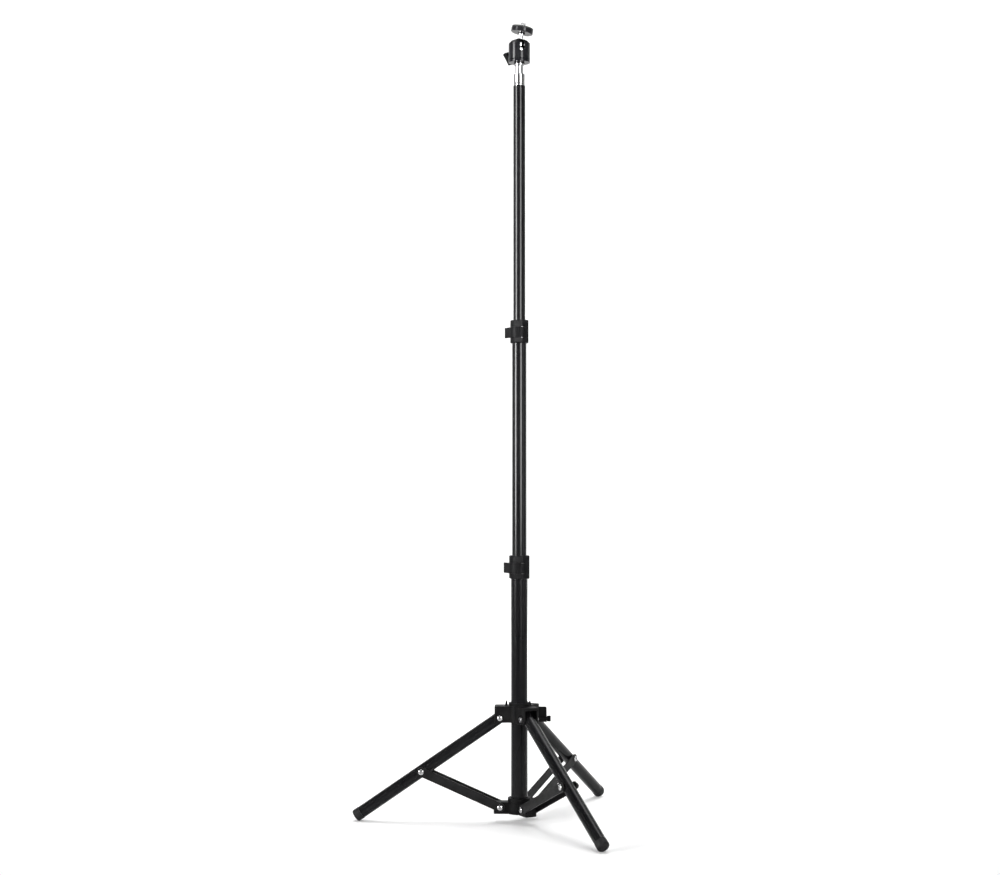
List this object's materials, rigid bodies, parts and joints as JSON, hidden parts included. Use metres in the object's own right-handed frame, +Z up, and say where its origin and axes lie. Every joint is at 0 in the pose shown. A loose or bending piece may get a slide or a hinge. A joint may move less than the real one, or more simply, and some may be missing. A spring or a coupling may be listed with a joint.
{
  "type": "light stand with ball head",
  "caption": "Slim telescopic stand on a folding tripod base with braced tube legs, flip-lever clamps and a mini ball head with a camera screw on top.",
  "frame": {"origin": "on the column's axis, at the underside of the base cap; the feet stand lower, on the floor", "axes": "+Z up along the column; -X towards the left leg; +X towards the upper collar's lock screw"},
  "size_m": [0.3353, 0.3846, 1.0574],
  "materials": {
    "gloss_black": "gloss black enamel",
    "plastic_black": "matte black",
    "rubber_black": "matte black",
    "steel_black": "satin black",
    "chrome_bright": "polished",
    "steel_plain": "plain zinc plated"
  },
  "bodies": {
    "column": {"lower_tube": "gloss_black", "base_cap": "plastic_black", "lower_collar": "plastic_black", "lower_collar_set_screw": "steel_plain", "lower_clamp_body": "plastic_black", "lower_clamp_pin": "steel_plain", "left_strut_screw": "chrome_bright", "left_strut_nut": "steel_black", "front_strut_screw": "chrome_bright", "front_strut_nut": "steel_black", "back_strut_screw": "chrome_bright", "back_strut_nut": "steel_black"},
    "upper_collar": {"upper_collar": "plastic_black", "left_leg_screw": "chrome_bright", "left_leg_nut": "steel_plain", "front_leg_screw": "chrome_bright", "front_leg_nut": "steel_plain", "back_leg_screw": "chrome_bright", "back_leg_nut": "steel_plain"},
    "collar_lock_screw": {"collar_lock_screw": "plastic_black"},
    "left_leg": {"left_leg": "gloss_black", "left_foot": "rubber_black"},
    "left_strut": {"left_strut_bar_a": "steel_black", "left_strut_bar_b": "steel_black", "left_strut_pin_head": "chrome_bright", "left_strut_pin_nut": "steel_black"},
    "front_leg": {"front_leg": "gloss_black", "front_foot": "rubber_black"},
    "front_strut": {"front_strut_bar_a": "steel_black", "front_strut_bar_b": "steel_black", "front_strut_pin_head": "chrome_bright", "front_strut_pin_nut": "steel_black"},
    "back_leg": {"back_leg": "gloss_black", "back_foot": "rubber_black"},
    "back_strut": {"back_strut_bar_a": "steel_black", "back_strut_bar_b": "steel_black", "back_strut_pin_head": "chrome_bright", "back_strut_pin_nut": "steel_black"},
    "lower_lever": {"lower_clamp_lever": "plastic_black"},
    "middle_section": {"middle_tube": "gloss_black", "middle_tube_glide": "plastic_black", "upper_clamp_body": "plastic_black", "upper_clamp_pin": "steel_plain"},
    "upper_lever": {"upper_clamp_lever": "plastic_black"},
    "upper_section": {"upper_tube": "gloss_black", "upper_tube_glide": "plastic_black", "top_stud": "chrome_bright", "head_base": "gloss_black", "head_housing": "gloss_black"},
    "head_knob": {"head_lock_knob": "plastic_black"},
    "ball_cup": {"ball_cup": "steel_plain"},
    "ball_stem": {"ball_stem": "chrome_bright"},
    "platform": {"camera_platform": "gloss_black", "platform_pad": "rubber_black", "camera_screw": "steel_plain"}
  },
  "joints": [
    {"name": "collar_slide", "type": "slide", "parent": "column", "child": "upper_collar", "axis": [0, 0, 1], "range_m": [0, 0.1213]},
    {"name": "collar_lock_turn", "type": "hinge", "parent": "upper_collar", "child": "collar_lock_screw", "pos_m": [0, 0, 0.12429], "axis": [1, 0, 0], "range_deg": [0, 360]},
    {"name": "left_leg_hinge", "type": "hinge", "parent": "upper_collar", "child": "left_leg", "pos_m": [-0.02503, 0, 0.12609], "axis": [0, -1, 0], "range_deg": [0, 50.5]},
    {"name": "left_strut_hinge", "type": "hinge", "parent": "column", "child": "left_strut", "pos_m": [-0.02503, 0, 0.0089], "axis": [0, -1, 0], "range_deg": [-60.64, 0]},
    {"name": "front_leg_hinge", "type": "hinge", "parent": "upper_collar", "child": "front_leg", "pos_m": [0.01252, -0.02168, 0.12609], "axis": [0.866, 0.5, 0], "range_deg": [0, 50.5]},
    {"name": "front_strut_hinge", "type": "hinge", "parent": "column", "child": "front_strut", "pos_m": [0.01252, -0.02168, 0.0089], "axis": [0.866, 0.5, 0], "range_deg": [-60.64, 0]},
    {"name": "back_leg_hinge", "type": "hinge", "parent": "upper_collar", "child": "back_leg", "pos_m": [0.01252, 0.02168, 0.12609], "axis": [-0.866, 0.5, 0], "range_deg": [0, 50.5]},
    {"name": "back_strut_hinge", "type": "hinge", "parent": "column", "child": "back_strut", "pos_m": [0.01252, 0.02168, 0.0089], "axis": [-0.866, 0.5, 0], "range_deg": [-60.64, 0]},
    {"name": "lower_lever_flip", "type": "hinge", "parent": "column", "child": "lower_lever", "pos_m": [0.00468, -0.01425, 0], "axis": [0, 0, 1], "range_deg": [0, 105]},
    {"name": "middle_slide", "type": "slide", "parent": "column", "child": "middle_section", "axis": [0, 0, 1], "range_m": [-0.278, 0]},
    {"name": "upper_lever_flip", "type": "hinge", "parent": "middle_section", "child": "upper_lever", "pos_m": [0.00422, -0.01282, 0], "axis": [0, 0, 1], "range_deg": [0, 105]},
    {"name": "upper_slide", "type": "slide", "parent": "middle_section", "child": "upper_section", "axis": [0, 0, 1], "range_m": [-0.29, 0]},
    {"name": "head_knob_turn", "type": "hinge", "parent": "upper_section", "child": "head_knob", "pos_m": [0, 0, 1.0013], "axis": [-0.7431, 0.6691, 0], "continuous": true},
    {"name": "head_pan", "type": "hinge", "parent": "upper_section", "child": "ball_cup", "pos_m": [0, 0, 1.0163], "axis": [0, 0, 1], "continuous": true},
    {"name": "head_tilt", "type": "hinge", "parent": "ball_cup", "child": "ball_stem", "pos_m": [0, 0, 1.0163], "axis": [0, 1, 0], "range_deg": [-43, 21]},
    {"name": "platform_turn", "type": "hinge", "parent": "ball_stem", "child": "platform", "pos_m": [0, 0, 1.0163], "axis": [0.1908, 0, 0.9816], "continuous": true}
  ],
  "couplings": [
    {"joint": "left_leg_hinge", "follows": "collar_slide", "rad_per_m": 7.2662},
    {"joint": "left_strut_hinge", "follows": "collar_slide", "rad_per_m": -8.7249},
    {"joint": "front_leg_hinge", "follows": "collar_slide", "rad_per_m": 7.2662},
    {"joint": "front_strut_hinge", "follows": "collar_slide", "rad_per_m": -8.7249},
    {"joint": "back_leg_hinge", "follows": "collar_slide", "rad_per_m": 7.2662},
    {"joint": "back_strut_hinge", "follows": "collar_slide", "rad_per_m": -8.7249}
  ]
}
